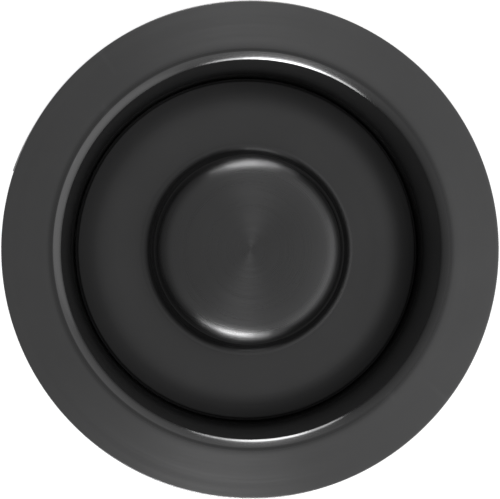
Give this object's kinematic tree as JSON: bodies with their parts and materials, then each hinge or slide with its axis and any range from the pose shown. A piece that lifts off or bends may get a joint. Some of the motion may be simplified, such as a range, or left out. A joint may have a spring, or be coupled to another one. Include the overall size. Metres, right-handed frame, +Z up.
{
  "type": "kitchen garbage disposal sink flange",
  "caption": "Sink flange and lift-out stopper of a kitchen garbage disposal, with its under-sink clamp, mounting ring, lock ring, gasket and splash baffle.",
  "frame": {"origin": "centre of the sink hole on the sink's top face, where the rim's seal rests", "axes": "+Z up out of the sink along the flange's axis; +X through one ear of the mounting ring"},
  "size_m": [0.1218, 0.1218, 0.0851],
  "materials": {
    "gunmetal": "dark gunmetal coating on drawn stainless steel, turned to a fine circular brush",
    "knob_metal": "dark gunmetal coating on a turned knob, finer and glossier than the flange",
    "black_rubber": "matt black rubber",
    "seal_rubber": "satin black rubber",
    "foam": "dark grey closed-cell foam rubber",
    "fibre": "pressed brown fibre sheet",
    "zinc": "zinc plated pressed steel",
    "spring_steel": "bright spring wire",
    "stainless": "plain bright stainless steel",
    "plastic": "moulded black plastic with a fine texture"
  },
  "bodies": {
    "flange": {"sink_flange": "gunmetal", "rim_seal": "foam", "snap_ring": "spring_steel", "mounting_ring": "zinc"},
    "clamp": {"fibre_gasket": "fibre", "backup_flange": "zinc"},
    "screw_1": {"mounting_screw_1": "zinc"},
    "screw_2": {"mounting_screw_2": "zinc"},
    "screw_3": {"mounting_screw_3": "zinc"},
    "gasket": {"mounting_gasket": "black_rubber", "splash_baffle": "black_rubber"},
    "lock_ring": {"lock_ring": "zinc"},
    "seal": {"stopper_seal": "seal_rubber"},
    "stopper": {"stopper_plate": "gunmetal", "stopper_knob": "knob_metal", "knob_o_ring": "black_rubber", "stopper_guide": "plastic", "stopper_stud": "stainless", "stopper_washer": "stainless", "cap_nut": "stainless"}
  },
  "joints": [
    {"name": "clamp_travel", "type": "slide", "parent": "flange", "child": "clamp", "axis": [0, 0, 1], "range_m": [-0.004, 0.004]},
    {"name": "screw_1_turn", "type": "hinge", "parent": "clamp", "child": "screw_1", "pos_m": [0.02501, 0.04332, -0.033], "axis": [0, 0, 1], "range_deg": [-1134, 1134]},
    {"name": "screw_2_turn", "type": "hinge", "parent": "clamp", "child": "screw_2", "pos_m": [-0.05003, 0, -0.033], "axis": [0, 0, 1], "range_deg": [-1134, 1134]},
    {"name": "screw_3_turn", "type": "hinge", "parent": "clamp", "child": "screw_3", "pos_m": [0.02501, -0.04332, -0.033], "axis": [0, 0, 1], "range_deg": [-1134, 1134]},
    {"name": "gasket_drop", "type": "slide", "parent": "flange", "child": "gasket", "axis": [0, 0, 1], "range_m": [-0.00321, 0]},
    {"name": "lock_ring_turn", "type": "hinge", "parent": "gasket", "child": "lock_ring", "pos_m": [0, 0, -0.071], "axis": [0, 0, 1], "range_deg": [-50, 0]},
    {"name": "stopper_lift", "type": "slide", "parent": "flange", "child": "seal", "axis": [0, 0, 1], "range_m": [0, 0.08]},
    {"name": "stopper_turn", "type": "hinge", "parent": "seal", "child": "stopper", "pos_m": [0, 0, -0.017], "axis": [0, 0, 1], "continuous": true}
  ],
  "couplings": [
    {"joint": "screw_1_turn", "follows": "clamp_travel", "rad_per_m": 4947.4},
    {"joint": "screw_2_turn", "follows": "clamp_travel", "rad_per_m": 4947.4},
    {"joint": "screw_3_turn", "follows": "clamp_travel", "rad_per_m": 4947.4},
    {"joint": "gasket_drop", "follows": "lock_ring_turn", "m_per_rad": 0.003667}
  ]
}
